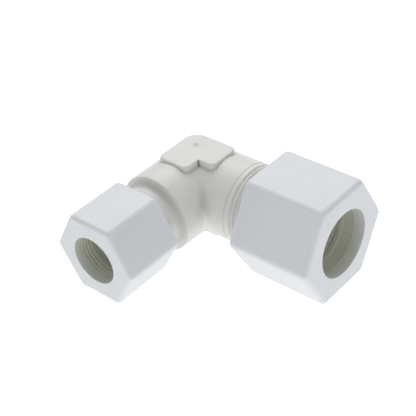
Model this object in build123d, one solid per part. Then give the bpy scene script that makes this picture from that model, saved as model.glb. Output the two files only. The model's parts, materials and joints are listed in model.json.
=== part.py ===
from build123d import *

import math
import os
from dataclasses import dataclass

# Reducing elbow compression fitting for 22 mm and 16 mm tube, millimetres.
# Origin: crossing point of the two tube axes. +X runs out of the large arm,
# -Y runs out of the small arm, +Z is square to both. Each end is drawn along
# its own axis (local +Z) and then turned into place.

# ---- elbow body ----
ARM_R = 13.75            # outside radius of both arms and of the ball corner
CREASE_R = 1.2           # plan radius of the fillet in the crease between the arms
CREASE_TOP = 12.7        # half height of that fillet; above it the pads cover the crease
PAD_HALF = 6.1           # half width of the L-shaped pads
PAD_REACH = 12.2         # how far each leg of a pad runs along its arm
PAD_TOP = 14.6           # height of the pad faces above and below the axes
PAD_OUTER_R = 5.0        # plan radius at the elbow's outer corner
PAD_TIP_R = 2.0          # plan radius at the leg tips
PAD_NOTCH_R = 0.4        # plan radius in the inner notch
PAD_EDGE = 0.6           # rounding of the pads' top edges
GATE_R = 0.8             # sprue gate dimple in the middle of the top pad
GATE_DEPTH = 0.35
WITNESS_AT = 21.35       # mould ring line on the large arm
WITNESS_DEPTH = 0.16
WITNESS_WIDTH = 0.36

# ---- screw thread, the same form on both ends ----
PITCH = 1.5
THREAD_DEPTH = 0.95      # male crest to male root
THREAD_GAP = 0.30        # radial clearance, crest to facing root
CREST_HALF = 0.16        # half of a ridge's width at its crest
FLANK = 0.42             # widening of a ridge's half width per mm towards its root
BITE = 0.12              # how deep a ridge's root is sunk into its wall
LEAD_IN = 0.12           # widening at the inner mouth of a nut

# ---- running gaps between loose pieces ----
AXIAL_GAP = 0.12
CONE_GAP = 0.18
SPLIT_ANGLE = 12.0       # opening of the split in a grip ring, degrees


@dataclass
class End:
    """One end of the fitting. Distances run outwards from the axis crossing."""

    name: str
    socket_r: float      # tube socket in the arm
    stop_at: float       # where the tube stops in the arm
    waterway_r: float    # bore behind the stop
    collar_r: float      # plain neck that the thread starts from
    thread_from: float   # end of the plain neck
    ridge_at: float      # centre of a thread ridge on the +Z side
    arm_end: float       # end face of the arm
    nut_from: float      # inner end of the nut
    nut_to: float        # outer face of the nut
    across_flats: float
    corner_r: float      # rounding of the nut's six long edges
    face_r: float        # rounding of the nut's outer rim
    back_r: float        # rounding of the nut's inner rim
    mouth_r: float       # bore through the nut's lip
    mouth_round: float   # rounding of the lip bore at the face
    lip: float           # thickness of the lip
    seal_d: float        # O-ring section
    seal_r: float        # O-ring inner radius, loose
    washer: float        # thrust washer thickness
    ring: float          # grip ring length
    ring_r: float        # inner radius at the ribs of the grip ring
    rib: float           # height of those ribs
    ribs: tuple          # each rib's flank start, crest start and crest end, from the front

    @property
    def crest_r(self):
        return self.collar_r

    @property
    def root_r(self):
        return self.crest_r - THREAD_DEPTH

    @property
    def nut_root_r(self):
        return self.crest_r + THREAD_GAP

    @property
    def nut_crest_r(self):
        return self.root_r + THREAD_GAP

    @property
    def cavity_r(self):
        return self.nut_crest_r - 0.1

    @property
    def seal_at(self):
        return self.arm_end + self.seal_d / 2 + 0.03

    @property
    def washer_from(self):
        return self.seal_at + self.seal_d / 2 + AXIAL_GAP

    @property
    def ring_from(self):
        return self.washer_from + self.washer + AXIAL_GAP

    @property
    def ring_to(self):
        return self.ring_from + self.ring

    @property
    def lip_from(self):
        return self.nut_to - self.lip


LARGE = End(
    name="large", socket_r=11.10, stop_at=18.0, waterway_r=9.6, collar_r=ARM_R, thread_from=22.9,
    ridge_at=23.96, arm_end=44.5, nut_from=28.95, nut_to=58.0, across_flats=36.0, corner_r=2.4,
    face_r=1.6, back_r=1.1, mouth_r=11.42, mouth_round=0.10, lip=3.4, seal_d=1.6, seal_r=11.16,
    washer=1.6, ring=6.5, ring_r=11.12, rib=0.25,
    ribs=((0, 0, 0.4), (4.0, 4.8, 6.1)),
)
SMALL = End(
    name="small", socket_r=8.10, stop_at=20.0, waterway_r=7.0, collar_r=10.75, thread_from=25.3,
    ridge_at=26.55, arm_end=38.6, nut_from=28.5, nut_to=50.45, across_flats=28.0, corner_r=2.0,
    face_r=1.4, back_r=1.0, mouth_r=8.26, mouth_round=0.10, lip=2.95, seal_d=1.5, seal_r=8.15,
    washer=1.3, ring=5.7, ring_r=8.12, rib=0.16,
    ribs=((0, 0, 0.35), (1.0, 1.12, 1.45), (2.3, 2.42, 2.7), (3.6, 3.72, 4.0)),
)
SHOULDER_AT = 21.8           # end face of the small arm's full-size part
SHOULDER_EDGE = 0.5          # rounding of that shoulder's outer edge
SHOULDER_R = 2.3             # hollow fillet from the shoulder down to the plain neck
NECK_OVERLAP = 3.0           # how far a threaded neck's core reaches back into its arm
SEAM = 0.01                  # step between surfaces of equal size that merge, so none coincide

PLACES = {
    "large": Plane(origin=(0, 0, 0), x_dir=(0, 0, 1), z_dir=(1, 0, 0)),
    "small": Plane(origin=(0, 0, 0), x_dir=(0, 0, 1), z_dir=(0, -1, 0)),
}


def turned(points, ball_r=0):
    """Solid of revolution about local Z from (radius, height) points.

    With ball_r the outline starts with a hemisphere below z = 0, and the points carry on
    from (ball_r, 0) and end on the axis.
    """
    corners = [(r, 0, h) for r, h in points]
    if ball_r:
        slant = ball_r * math.sqrt(0.5)
        pole = (0, 0, -ball_r)
        arc = ThreePointArc(pole, (slant, 0, -slant), corners[0])
        outline = Curve() + arc + Polyline(*corners, pole)
    else:
        outline = Polyline(*corners, close=True)
    return revolve(make_face(outline), Axis.Z)


def helix_ridge(base_r, tip_r, tip_half, centre_at, z_from, z_to):
    """Screw ridge from base_r to tip_r whose centre passes centre_at on the local +X side."""
    wall = math.copysign(BITE, base_r - tip_r)
    depth = abs(tip_r - base_r) + BITE
    base_half = tip_half + FLANK * depth
    turns_back = math.ceil((centre_at - z_from) / PITCH)
    start = centre_at - turns_back * PITCH
    path = Pos(0, 0, start) * Helix(pitch=PITCH, height=z_to - start + PITCH, radius=min(base_r, tip_r))
    section = Polyline(
        (base_r + wall, 0, start - base_half),
        (tip_r, 0, start - tip_half),
        (tip_r, 0, start + tip_half),
        (base_r + wall, 0, start + base_half),
        close=True,
    )
    return sweep(make_face(section), path=path, is_frenet=True)


def threaded_neck(end):
    """Threaded part of an arm; its plain core reaches back into the arm."""
    core = turned([
        (0, end.thread_from - NECK_OVERLAP),
        (end.root_r, end.thread_from - NECK_OVERLAP),
        (end.root_r, end.arm_end - 0.4),
        (end.root_r - 0.4, end.arm_end),
        (0, end.arm_end),
    ])
    ridge = helix_ridge(end.root_r, end.crest_r, CREST_HALF, end.ridge_at, end.thread_from, end.arm_end)
    inside = end.root_r - 2 * BITE
    keep = turned([
        (inside, end.thread_from),
        (end.crest_r + 1, end.thread_from),
        (end.crest_r + 1, end.arm_end - 1.6),
        (end.crest_r, end.arm_end - 1.6),
        (end.root_r - 0.1, end.arm_end - 0.5),
        (inside, end.arm_end - 0.5),
    ])
    return core + (ridge & keep)


def large_arm():
    """Large arm with its ball end, which is the elbow's outer corner, and its mould ring line."""
    half = WITNESS_WIDTH / 2
    return turned([
        (ARM_R, 0),
        (ARM_R, WITNESS_AT - half),
        (ARM_R - WITNESS_DEPTH, WITNESS_AT),
        (ARM_R, WITNESS_AT + half),
        (ARM_R, LARGE.thread_from),
        (0, LARGE.thread_from),
    ], ball_r=ARM_R)


def small_arm():
    """Full-size part of the small arm, its rounded shoulder and its plain neck."""
    outer = ARM_R - SEAM
    arm = turned([
        (0, -0.3),
        (outer, -0.3),
        (outer, SHOULDER_AT),
        (SMALL.collar_r, SHOULDER_AT),
        (SMALL.collar_r, SMALL.thread_from),
        (0, SMALL.thread_from),
    ])
    at_shoulder = arm.edges().filter_by(lambda e: abs(e.center().Z - SHOULDER_AT) < 0.1)
    arm = fillet(at_shoulder.filter_by(lambda e: e.radius < outer - 0.1), SHOULDER_R)
    at_shoulder = arm.edges().filter_by(lambda e: abs(e.center().Z - SHOULDER_AT) < 0.1)
    return fillet(at_shoulder.filter_by(lambda e: e.radius > outer - 0.1), SHOULDER_EDGE)


def arm_bore(end, ball_r=0):
    """Waterway, tube stop and tube socket of one arm, with a lead-in at the mouth."""
    points = [
        (end.waterway_r, 0),
        (end.waterway_r, end.stop_at),
        (end.socket_r, end.stop_at),
        (end.socket_r, end.arm_end - 0.4),
        (end.socket_r + 0.3, end.arm_end),
        (end.socket_r + 0.3, end.arm_end + 1),
        (0, end.arm_end + 1),
    ]
    if not ball_r:
        points.append((0, 0))
    return turned(points, ball_r)


def crease_section(height):
    """Plan section of the crease fillet; its arc runs just inside both arms at its ends."""
    half = math.sqrt(ARM_R ** 2 - height ** 2) - 0.05
    far = half + CREASE_R
    bow = CREASE_R * (1 - math.sqrt(0.5))
    outline = Polyline((half, -far), (half - 1, -far), (half - 1, -half + 1), (far, -half + 1), (far, -half))
    arc = ThreePointArc((half, -far), (half + bow, -half - bow), (far, -half))
    return Pos(0, 0, height) * make_face(Curve() + outline + arc)


def crease_fillet():
    """Fillet in the crease between the arms, lofted through plan sections."""
    steps = 8
    heights = [CREASE_TOP * math.sin(math.pi / 2 * k / steps) for k in range(-steps, steps + 1)]
    return loft([crease_section(height) for height in heights])


def pad(side):
    """L-shaped flat pad over the elbow; side is +1 for the top and -1 for the bottom."""
    outline = Polyline(
        (-PAD_HALF, PAD_HALF),
        (PAD_REACH, PAD_HALF),
        (PAD_REACH, -PAD_HALF),
        (PAD_HALF, -PAD_HALF),
        (PAD_HALF, -PAD_REACH),
        (-PAD_HALF, -PAD_REACH),
        close=True,
    )
    block = extrude(make_face(outline), PAD_TOP)
    uprights = block.edges().filter_by(Axis.Z)
    outer = uprights.filter_by(lambda e: e.center().X < 0 < e.center().Y)
    block = fillet(outer, PAD_OUTER_R)
    uprights = block.edges().filter_by(Axis.Z)
    notch = uprights.filter_by(
        lambda e: abs(e.center().X - PAD_HALF) < 0.1 and abs(e.center().Y + PAD_HALF) < 0.1
    )
    block = fillet(notch, PAD_NOTCH_R)
    uprights = block.edges().filter_by(Axis.Z)
    tips = uprights.filter_by(
        lambda e: abs(e.center().X - PAD_REACH) < 0.1 or abs(e.center().Y + PAD_REACH) < 0.1
    )
    block = fillet(tips, PAD_TIP_R)
    block = fillet(block.faces().sort_by(Axis.Z)[-1].edges(), PAD_EDGE)
    if side < 0:
        block = mirror(block, about=Plane.XY)
    return block


def elbow_body():
    """One-piece moulded elbow with both threaded arms and both pads."""
    large = PLACES["large"]
    small = PLACES["small"]
    body = large * large_arm() + small * small_arm() + crease_fillet()
    body = body + pad(+1) + pad(-1)
    body = body + large * threaded_neck(LARGE) + small * threaded_neck(SMALL)
    body = body - large * arm_bore(LARGE, ball_r=LARGE.waterway_r) - small * arm_bore(SMALL)
    gate = Pos(0, 0, PAD_TOP) * Cone(GATE_R / 3, GATE_R, 2 * GATE_DEPTH)
    return body - gate


def nut_blank(end):
    """Hexagon bar of the nut with its rounded edges, flat sides up and down."""
    half = end.across_flats / 2
    hexagon = RegularPolygon(radius=half, side_count=6, major_radius=False)
    flats = sorted(hexagon.edges(), key=lambda e: abs(e.center().X))[-1]
    if abs(flats.center().X - half) > 0.01:
        hexagon = Rot(0, 0, 30) * hexagon
    bar = Pos(0, 0, end.nut_from) * extrude(hexagon, end.nut_to - end.nut_from)
    bar = fillet(bar.edges().filter_by(Axis.Z), end.corner_r)
    bar = fillet(bar.faces().sort_by(Axis.Z)[-1].edges(), end.face_r)
    return fillet(bar.faces().sort_by(Axis.Z)[0].edges(), end.back_r)


def nut_hollow(end):
    """Inside of the nut: thread root, cavity for the rings, taper and lip bore."""
    thread_to = end.arm_end + 1.0
    taper_from = end.ring_from + 0.35 * end.ring
    mouth = end.mouth_r
    rim = end.mouth_round
    return turned([
        (0, end.nut_from - 1),
        (end.nut_root_r + LEAD_IN, end.nut_from - 1),
        (end.nut_root_r + LEAD_IN, end.nut_from),
        (end.nut_root_r, end.nut_from + 2 * LEAD_IN),
        (end.nut_root_r, thread_to),
        (end.cavity_r, thread_to + 0.6),
        (end.cavity_r, taper_from),
        (taper_end_r(end), end.lip_from),
        (mouth, end.lip_from),
        (mouth, end.nut_to - rim),
        (mouth + 0.3 * rim, end.nut_to - 0.3 * rim),
        (mouth + rim, end.nut_to),
        (mouth + rim, end.nut_to + 1),
        (0, end.nut_to + 1),
    ])


def taper_end_r(end):
    """Cavity radius where the nut's inner taper meets the lip."""
    return end.cavity_r - 0.9


def nut_thread(end):
    """Female thread: ridges that stand in the middle of the arm's grooves."""
    thread_to = end.arm_end + 1.0
    centre = end.ridge_at + PITCH / 2
    ridge = helix_ridge(end.nut_root_r, end.nut_crest_r, CREST_HALF, centre, end.nut_from, thread_to)
    keep = turned([
        (end.nut_crest_r - 0.5, end.nut_from + 1.9),
        (end.nut_root_r + 0.2, end.nut_from + 0.9),
        (end.nut_root_r + 2 * BITE, end.nut_from + 0.9),
        (end.nut_root_r + 2 * BITE, thread_to),
        (end.nut_crest_r - 0.5, thread_to),
    ])
    return ridge & keep


def face_dots(end, count, from_angle, to_angle):
    """Row of small raised dots on the nut's face, in an arc beside the bore."""
    ring_r = (end.mouth_r + end.across_flats / 2) / 2 + 0.1
    dot_r = 0.045 * ring_r
    dots = []
    for index in range(count):
        angle = from_angle + (to_angle - from_angle) * index / (count - 1)
        dots.append(Rot(0, 0, angle) * Pos(ring_r, 0, end.nut_to) * Cylinder(dot_r, 0.5))
    return dots


def union_nut(end):
    """Long hexagon union nut."""
    nut = nut_blank(end) - nut_hollow(end)
    nut += nut_thread(end)
    for dot in face_dots(end, 5, 10, 58):
        nut += dot
    return nut


def grip_ring(end):
    """Split taper ring with gripping ribs inside, thin end towards the lip."""
    back_r = end.cavity_r - CONE_GAP
    front_r = taper_end_r(end) - CONE_GAP
    shoulder = end.ring_from + 0.3 * end.ring
    relief_r = end.ring_r + end.rib
    points = [
        (relief_r, end.ring_from),
        (back_r - 0.15, end.ring_from),
        (back_r, end.ring_from + 0.15),
        (back_r, shoulder),
        (front_r, end.ring_to),
    ]
    for flank, crest, crest_end in end.ribs:
        if crest > flank:
            points.append((relief_r, end.ring_to - flank))
        points.append((end.ring_r, end.ring_to - crest))
        points.append((end.ring_r, end.ring_to - crest_end))
        points.append((relief_r, end.ring_to - crest_end - 0.12))
    ring = turned(points)
    wedge_r = end.cavity_r + 2
    half = math.radians(SPLIT_ANGLE / 2)
    wedge = Polyline(
        (0, 0),
        (wedge_r * math.cos(half), wedge_r * math.sin(half)),
        (wedge_r * math.cos(half), -wedge_r * math.sin(half)),
        close=True,
    )
    slot = Pos(0, 0, end.ring_from - 1) * extrude(make_face(wedge), end.ring + 2)
    return ring - slot


def thrust_washer(end):
    """Flat ring between the seal and the grip ring."""
    inner = end.ring_r + 0.02
    outer = end.cavity_r - CONE_GAP
    top = end.washer_from + end.washer
    edge = 0.15
    return turned([
        (inner, end.washer_from + edge),
        (inner + edge, end.washer_from),
        (outer - edge, end.washer_from),
        (outer, end.washer_from + edge),
        (outer, top - edge),
        (outer - edge, top),
        (inner + edge, top),
        (inner, top - edge),
    ])


def o_ring(end):
    """Rubber ring that seals on the arm's end face."""
    return Pos(0, 0, end.seal_at) * Torus(end.seal_r + end.seal_d / 2, end.seal_d / 2)


def save(shape, node):
    """Write one sub-part as parts/NODE.step."""
    solids = shape.solids()
    volume = sum(solid.volume for solid in solids)
    print(f"{node}: {len(solids)} solid, {volume:.0f} mm3")
    single = solids[0] if len(solids) == 1 else Compound(children=list(solids))
    export_step(single, f"parts/{node}.step")


os.makedirs("parts", exist_ok=True)
save(elbow_body(), "elbow_body")
for end in (LARGE, SMALL):
    place = PLACES[end.name]
    save(place * union_nut(end), f"{end.name}_union_nut")
    save(place * grip_ring(end), f"{end.name}_grip_ring")
    save(place * thrust_washer(end), f"{end.name}_thrust_washer")
    save(place * o_ring(end), f"{end.name}_o_ring")
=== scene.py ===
import json
import math

import bmesh
import bpy
import numpy as np
from mathutils import Matrix, Vector


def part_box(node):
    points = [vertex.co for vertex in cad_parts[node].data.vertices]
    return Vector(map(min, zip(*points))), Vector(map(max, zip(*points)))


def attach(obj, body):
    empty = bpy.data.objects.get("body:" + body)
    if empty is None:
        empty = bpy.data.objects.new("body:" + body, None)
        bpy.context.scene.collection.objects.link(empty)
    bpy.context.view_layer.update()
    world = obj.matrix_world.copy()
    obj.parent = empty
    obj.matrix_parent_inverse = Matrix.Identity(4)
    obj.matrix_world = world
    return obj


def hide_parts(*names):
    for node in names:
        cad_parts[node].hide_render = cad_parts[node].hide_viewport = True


# White plastic reducing elbow with its two union nuts, grip rings, washers and seals.
# Every shape is worked out in millimetres in the part's own frame and turned into metres last.

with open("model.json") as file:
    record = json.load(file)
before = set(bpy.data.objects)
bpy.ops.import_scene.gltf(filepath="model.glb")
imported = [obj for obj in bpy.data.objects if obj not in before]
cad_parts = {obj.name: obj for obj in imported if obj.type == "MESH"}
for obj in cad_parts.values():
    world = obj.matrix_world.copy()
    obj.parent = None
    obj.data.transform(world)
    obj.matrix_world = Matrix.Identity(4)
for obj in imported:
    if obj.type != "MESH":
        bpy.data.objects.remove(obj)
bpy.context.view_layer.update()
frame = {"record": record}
MM = 0.001
TAU = 2 * math.pi

RECORD = frame["record"]
MOUNTS = {mount["name"]: mount for mount in RECORD["mounts"]}


def box_mm(node):
    """Lowest and highest corner of a CAD node, in millimetres."""
    low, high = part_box(node)
    return np.array(low) / MM, np.array(high) / MM


# ---- sizes shared with the CAD model ----

PITCH = 1.5              # thread pitch
THREAD_DEPTH = 0.95      # male crest to male root
THREAD_GAP = 0.30        # radial clearance between the two threads
BODY_HIGH = box_mm("elbow_body")[1]
ARM_R = BODY_HIGH[1]     # outside radius of both arms
PAD_TOP = BODY_HIGH[2]   # height of the flat pads over the axes
PAD_HALF = 6.1           # half width of a pad's legs
PAD_REACH = 12.2         # length of a pad's legs
PAD_OUTER_R = 5.0        # plan rounding of a pad's outer corner
PAD_TIP_R = 2.0          # plan rounding of a pad's tips
PAD_NOTCH_R = 0.4        # plan rounding in a pad's notch
PAD_EDGE = 0.6           # rounding of a pad's top edges
PAD_FOOT_R = 0.12        # fillet between a pad's sides and the arms
GATE_BALL_R = 1.85       # ball whose cap is the gate mark's hollow in the top pad
GATE_BALL_UP = 1.55      # height of its centre over the pad
NECK_FROM = 8.0          # inner end of the necks, buried in the body
SHOULDER_AT = 21.8       # end face of the small arm's full-size part
SHOULDER_EDGE = 0.5      # rounding of that face's outer edge
SHOULDER_R = 2.3         # hollow fillet from there down to the plain neck
CREASE_R = 1.2           # plan radius of the fillet in the crease between the arms
CREASE_TOP = 12.7        # half height of that fillet, which ends under the pads
WITNESS_AT = 21.35       # fine groove round the large arm
WITNESS_DEPTH = 0.2
WITNESS_HALF = 0.17      # half width of that groove
COLLAR_EDGE = 0.2        # rounding where a collar ends and the thread starts
END_EDGE = 0.3           # rounding of an arm's end face
MOUTH_EDGE = 0.12        # rounding between the skin and the hollows
FLARE_LENGTH = 0.4       # lead-in at the mouth of a tube socket
FLARE_SLOPE = 0.75
RUN_OUT_LENGTH = 4.0     # stretch over which a thread's root comes down to full depth
LEAD_FROM_END = 0.5      # where a thread's tapered lead reaches its root, before the end face
LEAD_LENGTH = 1.1
LEAD_IN = 0.12           # widening at the inner mouth of a nut
CAVITY_STEP = 0.1        # how far a nut's cavity lies inside its thread's crests
SEAT_TAPER = 0.9         # how much a nut's cavity narrows towards the lip
RING_TAPER = 0.9         # how much slimmer a grip ring is at its front
SPLIT_HALF = 6           # half of the gap in a grip ring, degrees
DOT_HEIGHT = 0.25        # raised dots on the nut faces
DOT_COUNT = 5


class End:
    """One end of the fitting, seen along its own axis from the elbow's centre outwards."""

    def __init__(self, name, **sizes):
        self.name = name
        for size, value in sizes.items():
            setattr(self, size, value)
        mount = MOUNTS[f"{name}_tube_socket"]
        self.axis = np.array(mount["axis"], float)
        self.up = np.array([0.0, 0.0, 1.0])
        self.side = np.cross(self.axis, self.up)
        self.socket_r = mount["dims"]["r_mm"]
        self.arm_end = self.reach("elbow_body")
        self.nut_from = self.start(f"{name}_union_nut")
        self.nut_to = self.reach(f"{name}_union_nut") - DOT_HEIGHT
        low, high = box_mm(f"{name}_union_nut")
        self.apothem = (high[2] - low[2]) / 2
        self.root_r = self.collar_r - THREAD_DEPTH
        self.nut_root_r = self.collar_r + THREAD_GAP
        self.nut_crest_r = self.root_r + THREAD_GAP
        self.cavity_r = self.nut_crest_r - CAVITY_STEP
        self.lip_from = self.reach(f"{name}_grip_ring") + 0.03
        self.thread_to = self.arm_end + 1.0
        ring_low, ring_high = self.start(f"{name}_grip_ring"), self.reach(f"{name}_grip_ring")
        self.taper_from = ring_low + 0.35 * (ring_high - ring_low)

    def start(self, node):
        """Where a node begins along this end's axis."""
        return min(self.axis @ corner for corner in box_mm(node))

    def reach(self, node):
        """Where a node ends along this end's axis."""
        return max(self.axis @ corner for corner in box_mm(node))

    def to_frame(self, points):
        """Turns (up, side, along) points of this end into the part's frame."""
        return points @ np.array([self.up, self.side, self.axis])


LARGE = End("large", thread_from=23.1, run_out=0.25, ridge_at=24.2, collar_r=ARM_R,
            waterway_r=9.6, stop_at=18.0,
            corner_r=2.4, face_r=1.6, back_r=1.1, mouth_r=11.42, mouth_round=0.10,
            ring_r=11.12, rib=0.25, ribs=((0, 0, 0.4), (4.0, 4.8, 6.1)))
SMALL = End("small", thread_from=25.3, run_out=0.8, ridge_at=26.55, collar_r=10.75,
            waterway_r=7.0, stop_at=20.0,
            corner_r=2.0, face_r=1.4, back_r=1.0, mouth_r=8.26, mouth_round=0.10,
            ring_r=8.12, rib=0.16, ribs=((0, 0, 0.35), (1.0, 1.12, 1.45), (2.3, 2.42, 2.7), (3.6, 3.72, 4.0)))


# ---- distance functions, all in millimetres and negative inside ----

def round_join(a, b, radius):
    """Union of two distances with a fillet of that radius where they meet."""
    gap = np.hypot(np.maximum(radius - a, 0), np.maximum(radius - b, 0))
    return np.maximum(radius, np.minimum(a, b)) - gap


def round_cut(a, b, radius):
    """What lies inside both distances, with the edge between them rounded."""
    gap = np.hypot(np.maximum(radius + a, 0), np.maximum(radius + b, 0))
    return np.minimum(-radius, np.maximum(a, b)) + gap


def smooth_step(low, high, value):
    """0 below low, 1 above high, and a smooth rise between them."""
    t = np.clip((value - low) / (high - low), 0, 1)
    return t * t * (3 - 2 * t)


def fade(away, width):
    """Bell curve of a distance: 1 at zero and nearly 0 at twice the width."""
    return np.exp(-(away / width) ** 2)


def between(value, low, high):
    """Distance outside the slab from low to high, negative within it."""
    return np.abs(value - (low + high) / 2) - (high - low) / 2


def ridge_height(along, turn, ridge_at):
    """Height of the screw ridge over its root at a place along the axis and an angle round it."""
    phase = (along - ridge_at) / PITCH - turn / TAU
    off_crest = np.abs(phase - np.round(phase)) * PITCH
    return THREAD_DEPTH * (1 - smooth_step(0.10, 0.62, off_crest))


def arm_parts(end, points):
    """Place along an arm, distance from its axis and angle round it, of each point."""
    along = points @ end.axis
    up = points @ end.up
    side = points @ end.side
    return along, np.hypot(up, side), np.arctan2(side, up)


def threaded_neck(end, along, off_axis, turn):
    """Thread on an arm, with a tapered lead at its end face."""
    height = ridge_height(along, turn, end.ridge_at)
    run_out = end.run_out * (1 - smooth_step(end.thread_from, end.thread_from + RUN_OUT_LENGTH, along))
    height = np.maximum(height, run_out)
    lead = (end.arm_end - LEAD_FROM_END - along) / LEAD_LENGTH * THREAD_DEPTH
    height = np.minimum(height, np.maximum(lead, 0))
    steepness = 0.8
    wall = (off_axis - end.root_r - height) * steepness
    return round_cut(wall, between(along, NECK_FROM, end.arm_end), END_EDGE)


def tube_way(end, points, along, off_axis):
    """Waterway and tube socket of one arm, with a lead-in at the mouth."""
    centre = np.linalg.norm(points, axis=1)
    water = np.where(along > 0, off_axis, centre) - end.waterway_r
    flare = np.maximum(along - (end.arm_end - FLARE_LENGTH), 0) * FLARE_SLOPE
    socket = np.maximum(off_axis - end.socket_r - flare, end.stop_at - along)
    return np.minimum(water, socket)


def pads(points):
    """L-shaped prism whose top and bottom are the two flat pads."""
    x, y, z = points.T
    east, north = x - PAD_REACH, y - PAD_HALF
    west, south = -PAD_HALF - x, -PAD_REACH - y
    plan = np.maximum(round_cut(east, north, PAD_TIP_R), round_cut(west, south, PAD_TIP_R))
    plan = np.maximum(plan, round_cut(west, north, PAD_OUTER_R))
    notch = round_cut(PAD_HALF - x, y + PAD_HALF, PAD_NOTCH_R)
    plan = round_cut(plan, -notch, PAD_TIP_R)
    return round_cut(plan, np.abs(z) - PAD_TOP, PAD_EDGE)


def crease_fillet(points):
    """Fillet between the arms, of one plan radius at every height."""
    x, y, z = points.T
    half = np.sqrt(np.maximum(ARM_R ** 2 - z ** 2, 1))
    plan = round_join(x - half, -y - half, CREASE_R) * half / ARM_R
    near = (x > 0) & (x < ARM_R + 3) & (y < 0) & (y > -ARM_R - 3)
    return np.where(near, np.maximum(plan, np.abs(z) - CREASE_TOP), ARM_R)


def elbow_distance(points):
    """Distance to the moulded elbow body."""
    x, y, z = points.T
    centre = np.linalg.norm(points, axis=1)
    along_l, off_l, turn_l = arm_parts(LARGE, points)
    along_s, off_s, turn_s = arm_parts(SMALL, points)
    witness = WITNESS_DEPTH * fade(along_l - WITNESS_AT, WITNESS_HALF)
    large = np.where(along_l > 0, off_l, centre) - ARM_R + witness
    large = round_cut(large, along_l - LARGE.thread_from, COLLAR_EDGE)
    small = np.where(along_s > 0, off_s, centre) - ARM_R
    small = round_cut(small, along_s - SHOULDER_AT, SHOULDER_EDGE)
    collar = round_cut(off_s - SMALL.collar_r, between(along_s, NECK_FROM, SMALL.thread_from), COLLAR_EDGE)
    small = round_join(small, collar, SHOULDER_R)
    body = np.minimum(np.minimum(large, small), crease_fillet(points))
    body = round_join(body, pads(points), PAD_FOOT_R)
    body = np.minimum(body, threaded_neck(LARGE, along_l, off_l, turn_l))
    body = np.minimum(body, threaded_neck(SMALL, along_s, off_s, turn_s))
    hollow_l = tube_way(LARGE, points, along_l, off_l)
    hollow_s = tube_way(SMALL, points, along_s, off_s)
    gate = np.hypot(np.hypot(x, y), z - PAD_TOP - GATE_BALL_UP) - GATE_BALL_R
    hollow = np.minimum(np.minimum(hollow_l, hollow_s), gate)
    return round_cut(body, -hollow, MOUTH_EDGE)


# ---- meshing ----

def grid_steps(*stretches):
    """Grid lines from (end, spacing) stretches that follow one another from the first value."""
    lines = [stretches[0]]
    for end, spacing in stretches[1:]:
        count = max(1, round((end - lines[-1]) / spacing))
        lines.extend(np.linspace(lines[-1], end, count + 1)[1:])
    return np.array(lines)


def surface_nets(distance, xs, ys, zs):
    """Quad mesh of a distance function's zero surface on a grid of unequal steps."""
    shape = (len(xs), len(ys), len(zs))
    values = np.empty(shape, np.float32)
    ny, nz = np.meshgrid(ys, zs, indexing="ij")
    for i, x in enumerate(xs):
        slab = np.stack([np.full(ny.size, x), ny.ravel(), nz.ravel()], 1)
        values[i] = distance(slab).reshape(ny.shape)
    inside = values < 0
    counts = np.zeros(tuple(n - 1 for n in shape), np.uint8)
    corners = [(a, b, c) for a in (0, 1) for b in (0, 1) for c in (0, 1)]
    for a, b, c in corners:
        counts += inside[a:shape[0] - 1 + a, b:shape[1] - 1 + b, c:shape[2] - 1 + c]
    cells = np.argwhere((counts > 0) & (counts < 8))
    lines = (xs, ys, zs)
    total = np.zeros((len(cells), 3))
    hits = np.zeros(len(cells))
    for corner in corners:
        for axis in range(3):
            if corner[axis]:
                continue
            low = cells + corner
            high = low.copy()
            high[:, axis] += 1
            f0 = values[tuple(low.T)]
            f1 = values[tuple(high.T)]
            cross = (f0 < 0) != (f1 < 0)
            share = np.where(cross, f0 / np.where(cross, f0 - f1, 1), 0)
            p0 = np.stack([lines[k][low[:, k]] for k in range(3)], 1)
            p1 = np.stack([lines[k][high[:, k]] for k in range(3)], 1)
            total += np.where(cross[:, None], p0 + (p1 - p0) * share[:, None], 0)
            hits += cross
    verts = total / hits[:, None]
    index = np.full(counts.shape, -1, np.int64)
    index[tuple(cells.T)] = np.arange(len(cells))
    faces = []
    for axis in range(3):
        first, second = (axis + 1) % 3, (axis + 2) % 3
        a = np.take(inside, range(shape[axis] - 1), axis)
        b = np.take(inside, range(1, shape[axis]), axis)
        edges = np.argwhere(a != b)
        edges = edges[(edges[:, first] > 0) & (edges[:, second] > 0)]
        edges = edges[(edges[:, first] < shape[first] - 1) & (edges[:, second] < shape[second] - 1)]
        quad = []
        for d1, d2 in ((1, 1), (0, 1), (0, 0), (1, 0)):
            cell = edges.copy()
            cell[:, first] -= d1
            cell[:, second] -= d2
            quad.append(index[tuple(cell.T)])
        quad = np.stack(quad, 1)
        flip = ~a[tuple(edges.T)]
        quad[flip] = quad[flip][:, ::-1]
        faces.append(quad)
    return verts, np.concatenate(faces)


def slope_of(distance, points, step):
    """Gradient of a distance function at each point."""
    slope = np.empty_like(points)
    for k in range(3):
        offset = np.zeros(3)
        offset[k] = step
        slope[:, k] = (distance(points + offset) - distance(points - offset)) / (2 * step)
    return slope


def settle(distance, points, rounds=4, step=0.01, farthest=0.1):
    """Moves points onto a distance function's zero surface, in a few short steps."""
    for _ in range(rounds):
        slope = slope_of(distance, points, step)
        steep = np.maximum((slope ** 2).sum(1), 0.2)
        points = points - slope * np.clip(distance(points) / steep, -farthest, farthest)[:, None]
    return points


def mesh_object(name, points, faces, sharp=50):
    """Blender object from points in millimetres, shaded smooth except at sharp edges."""
    mesh = bpy.data.meshes.new(name)
    mesh.from_pydata((points * MM).tolist(), [], [list(map(int, face)) for face in faces])
    mesh.validate()
    mesh.polygons.foreach_set("use_smooth", [True] * len(mesh.polygons))
    mesh.set_sharp_from_angle(angle=math.radians(sharp))
    made = bpy.data.objects.new(name, mesh)
    bpy.context.scene.collection.objects.link(made)
    return made


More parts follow.
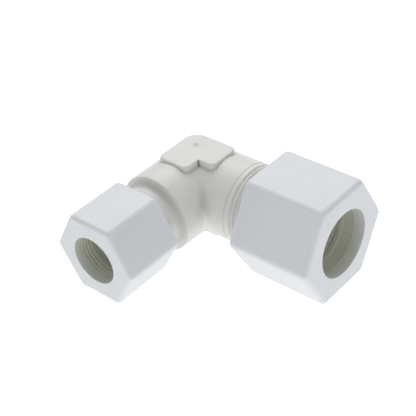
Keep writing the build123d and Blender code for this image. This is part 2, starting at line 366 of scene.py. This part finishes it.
def thin_out(made, faces, plain):
    """Collapses edges down to that many triangles, only where plain says the surface is plain."""
    made.data.calc_loop_triangles()
    group = made.vertex_groups.new(name="plain")
    group.add(np.flatnonzero(plain).tolist(), 1.0, "REPLACE")
    modifier = made.modifiers.new("thin", "DECIMATE")
    modifier.ratio = faces / len(made.data.loop_triangles)
    modifier.vertex_group = group.name
    depsgraph = bpy.context.evaluated_depsgraph_get()
    thinned = bpy.data.meshes.new_from_object(made.evaluated_get(depsgraph))
    made.modifiers.clear()
    made.vertex_groups.clear()
    made.data = thinned


def ring_mesh(name, rows, end, closed=True, sharp=35, hollow=(0, 0)):
    """Mesh from one (radius, along, turn) array per row; hollow gives the rows that line a bore."""
    radius, along, turn = (np.array(part) for part in zip(*rows))
    local = np.stack([radius * np.cos(turn), radius * np.sin(turn), along], -1)
    count, around = radius.shape
    points = end.to_frame(local.reshape(-1, 3))
    across = around if closed else around - 1
    i, j = np.meshgrid(range(count), range(across), indexing="ij")
    i2 = (i + 1) % count
    j2 = (j + 1) % around
    quads = np.stack([i * around + j, i * around + j2, i2 * around + j2, i2 * around + j], -1)
    faces = quads.reshape(-1, 4).tolist()
    if not closed:
        first = [k * around for k in range(count)]
        last = [k * around + around - 1 for k in range(count)]
        faces += [first, last[::-1]]
    made = mesh_object(name, points, faces, sharp)
    turn_outward(made)
    # painted shade in a bore's rows: 0.6 at the front, rising to 1 by 4 mm in
    shade = np.zeros(radius.shape)
    shade[slice(*hollow)] = 0.6 + 0.4 * smooth_step(0, 4, along.max() - along[slice(*hollow)])
    made.data.attributes.new("closed_in", "FLOAT", "POINT").data.foreach_set("value", shade.ravel())
    return made


def vertices_mm(made):
    """Places of an object's vertices, in millimetres."""
    points = np.empty(3 * len(made.data.vertices))
    made.data.vertices.foreach_get("co", points)
    return points.reshape(-1, 3) / MM


def closed_in(points):
    """Painted shade on the elbow's skin, from 0 on open surface up to 1: darkening in the crease between the
    arms, at the pad notch, along the pads' feet, round the gate mark, in the shoulder's fillet and along the
    witness groove.
    """
    x, y, z = points.T
    inner_side = (x > 0) & (y < 0)
    crease = fade(x + y, 2.3) * inner_side * smooth_step(-2, 4, z) * smooth_step(11, 5, z)
    notch = fade(np.hypot(x - PAD_HALF - 0.1, y + PAD_HALF + 0.1), 0.5) * (z < PAD_TOP - 0.15)
    arms = np.minimum(np.hypot(y, z), np.hypot(x, z)) - ARM_R
    pad_foot = fade(np.hypot(pads(points), arms), 0.6) * smooth_step(PAD_TOP - 0.2, PAD_TOP - 0.5, np.abs(z))
    gate = fade(np.hypot(x, y), 0.9) * (z > PAD_TOP - 1)
    shoulder = fade(np.hypot(np.hypot(x, z) - SMALL.collar_r, y + SHOULDER_AT), 1.6)
    witness = fade(x - WITNESS_AT, WITNESS_HALF) * (np.hypot(y, z) > ARM_R - 1)
    # painted shade: each darkened place weighted into one amount
    tone = 0.37 * crease + notch + 0.3 * pad_foot + 0.4 * gate + 0.52 * shoulder + 0.4 * witness
    return np.minimum(tone, 1)


def shade_by_slope(made, distance, step=0.02):
    """Shades each face corner by the distance function's slope, except across sharp edges."""
    mesh = made.data
    slope = slope_of(distance, vertices_mm(made), step)
    slope /= np.maximum(np.linalg.norm(slope, axis=1), 1e-9)[:, None]
    owner = np.empty(len(mesh.loops), np.int32)
    mesh.loops.foreach_get("vertex_index", owner)
    facing = np.empty(3 * len(mesh.polygons))
    mesh.polygons.foreach_get("normal", facing)
    sides = np.empty(len(mesh.polygons), np.int32)
    mesh.polygons.foreach_get("loop_total", sides)
    facing = np.repeat(facing.reshape(-1, 3), sides, axis=0)
    corner = slope[owner]
    sharp = (corner * facing).sum(1) < 0.8
    corner[sharp] = facing[sharp]
    mesh.normals_split_custom_set(corner.tolist())


def turn_outward(made):
    """Makes every face of a closed mesh point outwards."""
    work = bmesh.new()
    work.from_mesh(made.data)
    bmesh.ops.recalc_face_normals(work, faces=work.faces)
    work.to_mesh(made.data)
    work.free()


# ---- union nuts ----

AROUND = 384             # mesh points round a nut


def nut_angles():
    """Angles round a nut, closer together at the six corners."""
    t = np.linspace(-1, 1, AROUND // 6, endpoint=False)
    sector = math.radians(30) * (0.35 * t + 0.65 * t ** 3)
    corners = math.radians(60) * np.arange(6) + math.radians(30)
    return (corners[:, None] + sector[None, :]).ravel()


def hexagon_r(turn, apothem, corner_r):
    """Radius of a hexagon with rounded corners and a flat facing angle 0."""
    off = np.abs((turn % math.radians(60)) - math.radians(30))
    middle = (apothem - corner_r) / math.cos(math.radians(30))
    edge = math.atan2(corner_r / 2, middle + corner_r * math.cos(math.radians(30)))
    flat = apothem / np.cos(math.radians(30) - off)
    inside = np.maximum(corner_r ** 2 - (middle * np.sin(off)) ** 2, 0)
    arc = middle * np.cos(off) + np.sqrt(inside)
    return np.where(off > edge, flat, arc)


def dot_relief(radius, turn, end):
    """Height of the raised dots on a nut's face."""
    ring_r = (end.mouth_r + end.apothem) / 2 + 0.1
    dot_r = 0.05 * ring_r
    height = np.zeros_like(radius)
    for degrees in np.linspace(10, 58, DOT_COUNT):
        angle = math.radians(degrees)
        away = np.hypot(radius * np.cos(turn) - ring_r * math.cos(angle),
                        radius * np.sin(turn) - ring_r * math.sin(angle))
        height = np.maximum(height, 0.014 * end.mouth_r * (1 - smooth_step(0.35, 1.25, away / dot_r)))
    return height


def union_nut(end):
    """Long hexagon nut: rounded rims, lip bore, ring cavity, taper and screw thread."""
    turn = nut_angles()
    ones = np.ones_like(turn)
    rows = []

    def hexagon(inset, along):
        radius = hexagon_r(turn, end.apothem - inset, max(end.corner_r - inset, 0.3))
        rows.append((radius, along * ones, turn))

    def circle(radius, along):
        rows.append((radius * ones, along * ones, turn))

    for phi in np.linspace(0, math.pi / 2, 8):
        hexagon(end.face_r * (1 - math.cos(phi)), end.nut_to - end.face_r * (1 - math.sin(phi)))
    rim = end.mouth_r + end.mouth_round
    outline = rows[-1][0]
    for t in np.linspace(0, 1, 34)[1:]:
        radius = outline + (rim - outline) * t
        relief = dot_relief(radius, turn, end) if t < 1 else 0 * ones
        rows.append((radius, end.nut_to + relief, turn))
    bore_starts = len(rows)
    for phi in np.linspace(0, math.pi / 2, 6)[1:]:
        circle(rim - end.mouth_round * math.sin(phi), end.nut_to - end.mouth_round * (1 - math.cos(phi)))
    for along in np.linspace(end.nut_to - end.mouth_round, end.lip_from + 0.06, 5)[1:]:
        circle(end.mouth_r, along)
    circle(end.mouth_r + 0.06, end.lip_from)
    circle(end.cavity_r - SEAT_TAPER - 0.1, end.lip_from)
    circle(end.cavity_r - SEAT_TAPER, end.lip_from - 0.1)
    seat_from = end.lip_from - 0.2
    for t in np.linspace(0, 1, 6):
        circle(end.cavity_r - SEAT_TAPER * (1 - t), seat_from + (end.taper_from - seat_from) * t)
    circle(end.cavity_r, end.thread_to + 0.8)
    circle(end.cavity_r, end.thread_to + 0.6)
    thread_in = end.nut_from + 0.9
    for along in np.arange(end.thread_to, thread_in - 0.01, -0.125):
        lead = smooth_step(thread_in, thread_in + 1.0, along)
        lead *= smooth_step(end.thread_to, end.thread_to - 0.3, along)
        height = ridge_height(along, turn, end.ridge_at + PITCH / 2) * lead
        rows.append((end.nut_root_r - height, along * ones, turn))
    mouth_r = end.nut_root_r + LEAD_IN
    circle(end.nut_root_r, end.nut_from + 2 * LEAD_IN)
    circle(mouth_r - 0.02, end.nut_from + 0.06)
    bore_ends = len(rows)
    circle(mouth_r + 0.08, end.nut_from)
    outline = hexagon_r(turn, end.apothem - end.back_r, end.corner_r - end.back_r)
    for t in np.linspace(0, 1, 8)[1:-1]:
        radius = mouth_r + 0.08 + (outline - mouth_r - 0.08) * t
        rows.append((radius, end.nut_from * ones, turn))
    for phi in np.linspace(math.pi / 2, 0, 6):
        hexagon(end.back_r * (1 - math.cos(phi)), end.nut_from + end.back_r * (1 - math.sin(phi)))
    low = end.nut_from + end.back_r
    high = end.nut_to - end.face_r
    for along in (low + 0.4, *np.linspace(low, high, 8)[1:-1], high - 0.4):
        hexagon(0, along)
    return ring_mesh(f"{end.name}_nut", rows, end, hollow=(bore_starts, bore_ends))


# ---- loose rings ----

def rounded_profile(corners, radius, steps=4):
    """Closed outline with every corner rounded by a short curve."""
    corners = np.array(corners, float)
    made = []
    for k, corner in enumerate(corners):
        before = corners[k - 1] - corner
        after = corners[(k + 1) % len(corners)] - corner
        reach = min(radius, 0.45 * np.linalg.norm(before), 0.45 * np.linalg.norm(after))
        start = corner + before / np.linalg.norm(before) * reach
        stop = corner + after / np.linalg.norm(after) * reach
        for t in np.linspace(0, 1, steps + 1):
            made.append((1 - t) ** 2 * start + 2 * t * (1 - t) * corner + t * t * stop)
    return made


def ring_rows(profile, turn):
    """Rows of a turned ring from its (radius, along) outline."""
    ones = np.ones_like(turn)
    return [(radius * ones, along * ones, turn) for radius, along in profile]


def full_turn(count=192):
    return np.linspace(0, TAU, count, endpoint=False)


def thrust_washer(end):
    """Flat ring with softened edges."""
    low, high = end.start(f"{end.name}_thrust_washer"), end.reach(f"{end.name}_thrust_washer")
    outer = box_mm(f"{end.name}_thrust_washer")[1][2]
    inner = end.ring_r + 0.02
    corners = [(inner, low), (outer, low), (outer, high), (inner, high)]
    return ring_mesh(f"{end.name}_washer", ring_rows(rounded_profile(corners, 0.22), full_turn()), end)


def o_ring(end):
    """Rubber ring with the fine flash line that its mould leaves on the outside."""
    low, high = end.start(f"{end.name}_o_ring"), end.reach(f"{end.name}_o_ring")
    section_r = (high - low) / 2
    outer = box_mm(f"{end.name}_o_ring")[1][2]
    profile = []
    for phi in np.linspace(0, TAU, 40, endpoint=False):
        off = math.atan2(math.sin(phi), math.cos(phi))
        flash = 0.02 * fade(off, 0.09)
        radius = outer - section_r - 0.02 + (section_r - 0.01 + flash) * math.cos(phi)
        profile.append((radius, (low + high) / 2 + section_r * math.sin(phi)))
    return ring_mesh(f"{end.name}_seal", ring_rows(profile, full_turn()), end)


def grip_ring(end):
    """Split taper ring with gripping ribs inside."""
    low, high = end.start(f"{end.name}_grip_ring"), end.reach(f"{end.name}_grip_ring")
    back_r = -box_mm(f"{end.name}_grip_ring")[0][2]
    relief_r = end.ring_r + end.rib
    taper_from = low + 0.3 * (high - low)
    corners = [(relief_r, low), (back_r, low), (back_r, taper_from), (back_r - RING_TAPER, high)]
    for flank, crest, crest_end in end.ribs:
        if crest > flank:
            corners.append((relief_r, high - flank))
        corners.append((end.ring_r, high - crest))
        corners.append((end.ring_r, high - crest_end))
        corners.append((relief_r, high - crest_end - 0.12))
    split = math.radians(SPLIT_HALF)
    turn = np.linspace(split, TAU - split, 190)
    rows = ring_rows(rounded_profile(corners, 0.07), turn)
    return ring_mesh(f"{end.name}_gripper", rows, end, closed=False)


# ---- materials ----

def plastic(name, light, dark, roughness, grain, seed, subsurface=0.0, bore=(1, 1, 1)):
    """Moulded plastic: faint flow clouding, uneven gloss and fine skin grain; bore is the colour of a painted
    shade, multiplied in as far as a vertex attribute asks.
    """
    material = bpy.data.materials.new(name)
    material.use_nodes = True
    nodes = material.node_tree.nodes
    links = material.node_tree.links
    shader = nodes["Principled BSDF"]
    place = nodes.new("ShaderNodeTexCoord")
    offset = nodes.new("ShaderNodeMapping")
    offset.inputs["Location"].default_value = (seed, seed * 0.7, -seed)
    links.new(place.outputs["Object"], offset.inputs["Vector"])

    def noise(scale, detail, rough=0.5, distortion=0.0):
        made = nodes.new("ShaderNodeTexNoise")
        made.inputs["Scale"].default_value = scale
        made.inputs["Detail"].default_value = detail
        made.inputs["Roughness"].default_value = rough
        made.inputs["Distortion"].default_value = distortion
        links.new(offset.outputs["Vector"], made.inputs["Vector"])
        return made

    clouds = noise(55, 4, 0.55, 0.6)
    blend = nodes.new("ShaderNodeMapRange")
    blend.inputs["From Min"].default_value = 0.32
    blend.inputs["From Max"].default_value = 0.68
    links.new(clouds.outputs["Fac"], blend.inputs["Value"])
    colour = nodes.new("ShaderNodeMix")
    colour.data_type = "RGBA"
    colour.inputs[6].default_value = (*light, 1)
    colour.inputs[7].default_value = (*dark, 1)
    links.new(blend.outputs["Result"], colour.inputs[0])
    # painted shade: the vertex attribute blends the base colour towards its product with bore
    inside = nodes.new("ShaderNodeAttribute")
    inside.attribute_name = "closed_in"
    tint = nodes.new("ShaderNodeMix")
    tint.data_type = "RGBA"
    tint.blend_type = "MULTIPLY"
    tint.inputs[7].default_value = (*bore, 1)
    links.new(inside.outputs["Fac"], tint.inputs[0])
    links.new(colour.outputs[2], tint.inputs[6])
    links.new(tint.outputs[2], shader.inputs["Base Color"])

    patches = noise(160, 3)
    gloss = nodes.new("ShaderNodeMapRange")
    gloss.inputs["To Min"].default_value = roughness - 0.07
    gloss.inputs["To Max"].default_value = roughness + 0.07
    links.new(patches.outputs["Fac"], gloss.inputs["Value"])
    links.new(gloss.outputs["Result"], shader.inputs["Roughness"])

    skin = noise(2600, 2, 0.6)
    waves = noise(240, 2)
    fine = nodes.new("ShaderNodeBump")
    fine.inputs["Strength"].default_value = grain
    fine.inputs["Distance"].default_value = 0.00004
    links.new(skin.outputs["Fac"], fine.inputs["Height"])
    soft = nodes.new("ShaderNodeBump")
    soft.inputs["Strength"].default_value = 0.25
    soft.inputs["Distance"].default_value = 0.0002
    links.new(waves.outputs["Fac"], soft.inputs["Height"])
    links.new(fine.outputs["Normal"], soft.inputs["Normal"])
    links.new(soft.outputs["Normal"], shader.inputs["Normal"])

    shader.inputs["IOR"].default_value = 1.49
    shader.inputs["Subsurface Weight"].default_value = subsurface
    shader.inputs["Subsurface Radius"].default_value = (1.0, 0.9, 0.78)
    shader.inputs["Subsurface Scale"].default_value = 0.0022
    return material


# bore colours are painted shade: grey in the elbow's crease, notch, pad feet, gate, shoulder and groove; warm
# grey inside the nuts' bores
BODY_PLASTIC = plastic("body_plastic", (0.825, 0.82, 0.80), (0.795, 0.79, 0.765), 0.42, 0.5, 1.0, 0.10,
                       bore=(0.42, 0.42, 0.41))
NUT_PLASTIC = plastic("nut_plastic", (0.813, 0.843, 0.872), (0.783, 0.813, 0.847), 0.40, 0.5, 4.0, 0.12,
                      bore=(0.85, 0.84, 0.73))
RING_PLASTIC = plastic("ring_plastic", (0.71, 0.72, 0.62), (0.67, 0.68, 0.58), 0.35, 0.4, 7.0, 0.3)
WASHER_PLASTIC = plastic("washer_plastic", (0.76, 0.76, 0.70), (0.71, 0.71, 0.65), 0.45, 0.5, 9.0)
SEAL_RUBBER = plastic("seal_rubber", (0.028, 0.028, 0.03), (0.02, 0.02, 0.022), 0.6, 0.8, 12.0)


# ---- pieces ----

ELBOW_TRIANGLES = 190_000


def elbow():
    """Moulded elbow body, finely meshed at its threads, groove, notch, crease and shoulder."""
    xs = grid_steps(-14.5, (5.4, 0.42), (6.8, 0.14), (21.0, 0.42), (21.7, 0.06), (30.0, 0.15), (45.0, 0.2))
    ys = -grid_steps(-14.5, (5.4, 0.42), (6.8, 0.14), (20.0, 0.42), (39.1, 0.17))[::-1]
    zs = grid_steps(-15.3, (-12.0, 0.2), (12.0, 0.34), (15.3, 0.2))
    points, faces = surface_nets(elbow_distance, xs, ys, zs)
    points = settle(elbow_distance, points)
    made = mesh_object("elbow_moulding", points, faces)
    x, y, z = points.T
    outside = np.hypot(y, z) > LARGE.socket_r + 1
    crease = (x > 3) & (y < -3) & (np.abs(x + y) < 5)
    thread = (x > 20.7) & (x < 29)
    fine = outside & (crease | thread) | (closed_in(points) > 0.01)
    thin_out(made, ELBOW_TRIANGLES, ~fine)
    shade_by_slope(made, elbow_distance)
    # painted shade kept on the vertices, for the material to darken the colour
    shade = closed_in(vertices_mm(made))
    made.data.attributes.new("closed_in", "FLOAT", "POINT").data.foreach_set("value", shade)
    return made


def place(piece, node, body, slot, material):
    """Puts a piece in its body, in place of a CAD node, with its material."""
    piece.data.materials.clear()
    piece.data.materials.append(material)
    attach(piece, body)
    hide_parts(node)


place(elbow(), "elbow_body", "elbow", "body_plastic", BODY_PLASTIC)
for end in (LARGE, SMALL):
    size = end.name
    place(union_nut(end), f"{size}_union_nut", f"{size}_nut", "nut_plastic", NUT_PLASTIC)
    place(grip_ring(end), f"{size}_grip_ring", f"{size}_rings", "ring_plastic", RING_PLASTIC)
    place(thrust_washer(end), f"{size}_thrust_washer", f"{size}_rings", "washer_plastic", WASHER_PLASTIC)
    place(o_ring(end), f"{size}_o_ring", "elbow", "seal_rubber", SEAL_RUBBER)


# ---- floor, light and camera ----

TILT = math.atan2(LARGE.apothem - SMALL.apothem, SMALL.nut_to - LARGE.apothem * math.tan(math.radians(30)))
FLOOR_UP = Vector((0, math.sin(TILT), math.cos(TILT)))   # the fitting leans on its two nuts


FLOOR_RADIUS = 4.0       # metres
FLOOR_GAP = 0.0001       # metres between the floor and the lowest points
FLOOR_GLOW = 1.01        # emission that takes the floor to white


def floor():
    """Pale round table top under the lowest points of the two nuts."""
    meshes = [piece.data for piece in bpy.data.objects if piece.type == "MESH"]
    lowest = min(FLOOR_UP @ Vector(vertex.co) for mesh in meshes for vertex in mesh.vertices)
    work = bmesh.new()
    bmesh.ops.create_circle(work, cap_ends=True, radius=FLOOR_RADIUS, segments=96)
    mesh = bpy.data.meshes.new("floor")
    work.to_mesh(mesh)
    work.free()
    made = bpy.data.objects.new("floor", mesh)
    bpy.context.scene.collection.objects.link(made)
    made.rotation_mode = "QUATERNION"
    made.rotation_quaternion = FLOOR_UP.to_track_quat("Z", "Y")
    made.location = FLOOR_UP * (lowest - FLOOR_GAP)
    material = bpy.data.materials.new("floor_white")
    material.use_nodes = True
    shader = material.node_tree.nodes["Principled BSDF"]
    shader.inputs["Base Color"].default_value = (0.06, 0.06, 0.06, 1)
    shader.inputs["Roughness"].default_value = 0.9
    shader.inputs["Emission Color"].default_value = (1, 1, 1, 1)
    shader.inputs["Emission Strength"].default_value = FLOOR_GLOW
    mesh.materials.append(material)


def world_light(strength):
    world = bpy.data.worlds.new("studio")
    bpy.context.scene.world = world
    world.use_nodes = True
    back = world.node_tree.nodes["Background"]
    back.inputs["Color"].default_value = (1, 1, 1, 1)
    back.inputs["Strength"].default_value = strength


def area_light(name, place_mm, size_mm, power, aim_mm=(20, -15, 0)):
    """Soft box at a place, turned towards the fitting."""
    data = bpy.data.lights.new(name, "AREA")
    data.shape = "DISK"
    data.size = size_mm * MM
    data.energy = power
    lamp = bpy.data.objects.new(name, data)
    bpy.context.scene.collection.objects.link(lamp)
    lamp.location = Vector(place_mm) * MM
    lamp.rotation_mode = "QUATERNION"
    lamp.rotation_quaternion = (Vector(place_mm) - Vector(aim_mm)).to_track_quat("Z", "Y")


CAMERA_AZIMUTH = 43.02   # degrees from looking along +Y
CAMERA_ELEVATION = 37.02
CAMERA_ROLL = -5.17      # the fitting leans, so its own up axis isn't upright in the picture
CAMERA_AIM = (29.41, -28.58, 19.39)
CAMERA_DISTANCE = 318.0
CAMERA_LENS = 93.8


def camera():
    """Camera on the studio side of the fitting, looking down on both bores."""
    az, el, roll = (math.radians(a) for a in (CAMERA_AZIMUTH, CAMERA_ELEVATION, CAMERA_ROLL))
    back = Vector((math.sin(az) * math.cos(el), -math.cos(az) * math.cos(el), math.sin(el)))
    level = Vector((math.cos(az), math.sin(az), 0))
    upright = back.cross(level)
    right = math.cos(roll) * level + math.sin(roll) * upright
    up = -math.sin(roll) * level + math.cos(roll) * upright
    data = bpy.data.cameras.new("camera")
    data.lens = CAMERA_LENS
    data.sensor_width = 36
    data.clip_start = 0.01
    made = bpy.data.objects.new("camera", data)
    bpy.context.scene.collection.objects.link(made)
    turned = Matrix((right, up, back)).transposed().to_4x4()
    spot = (Vector(CAMERA_AIM) + CAMERA_DISTANCE * back) * MM
    made.matrix_world = Matrix.Translation(spot) @ turned
    bpy.context.scene.camera = made


floor()
world_light(0.475)
SOFT_BOX_SIZE = 800      # millimetres across
area_light("back_box", (-420, 450, 760), SOFT_BOX_SIZE, 4.1)
area_light("left_box", (-930, 100, 300), SOFT_BOX_SIZE, 0.6)
area_light("far_box", (100, 930, 300), SOFT_BOX_SIZE, 0.75)
camera()
bpy.context.scene.view_settings.view_transform = "Standard"
